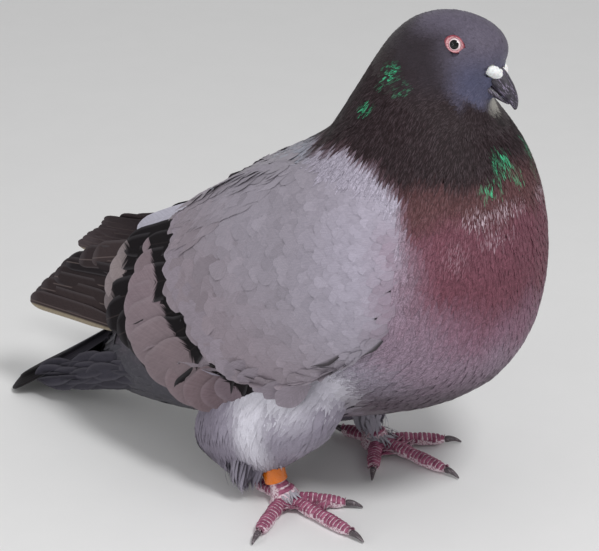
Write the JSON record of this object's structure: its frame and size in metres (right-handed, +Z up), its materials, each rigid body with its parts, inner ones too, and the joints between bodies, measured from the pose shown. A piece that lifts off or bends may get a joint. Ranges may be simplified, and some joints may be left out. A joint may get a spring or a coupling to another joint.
{
  "type": "pigeon",
  "caption": "Heavy domestic pigeon, standing, with barred blue-grey wings, a glossy green and maroon neck, white cere, pink feet and a plain orange leg band.",
  "frame": {"origin": "on the floor under the middle of the whole bird", "axes": "+X towards the bill, +Y towards the bird's left side, +Z up from the floor it stands on"},
  "size_m": [0.3595, 0.1692, 0.2949],
  "materials": {
    "slate": "soft matt plumage",
    "neck": "glossy hackle plumage, green and maroon",
    "breast": "soft matt plumage",
    "grey": "soft matt plumage",
    "flight": "stiff matt flight feathers",
    "horn": "smooth horn",
    "cere": "powdery bare skin",
    "lid": "bare wrinkled skin",
    "eye": "wet and glossy",
    "scale": "scaly skin",
    "band": "smooth, unmarked"
  },
  "bodies": {
    "root": {"bill_lower": "horn", "bill_upper": "horn", "breast": "breast", "cere": "cere", "claw_hind_left": "horn", "claw_hind_right": "horn", "claw_inner_left": "horn", "claw_inner_right": "horn", "claw_middle_left": "horn", "claw_middle_right": "horn", "claw_outer_left": "horn", "claw_outer_right": "horn", "eye_left": "eye", "eye_right": "eye", "eyelid_left": "lid", "eyelid_right": "lid", "flight_left": "flight", "flight_right": "flight", "head": "slate", "leg_band": "band", "neck": "neck", "shank_left": "scale", "shank_right": "scale", "tail": "flight", "thigh_left": "grey", "thigh_right": "grey", "toe_hind_left": "scale", "toe_hind_right": "scale", "toe_inner_left": "scale", "toe_inner_right": "scale", "toe_middle_left": "scale", "toe_middle_right": "scale", "toe_outer_left": "scale", "toe_outer_right": "scale", "trunk": "grey", "wing_left": "grey", "wing_right": "grey"}
  },
  "joints": []
}
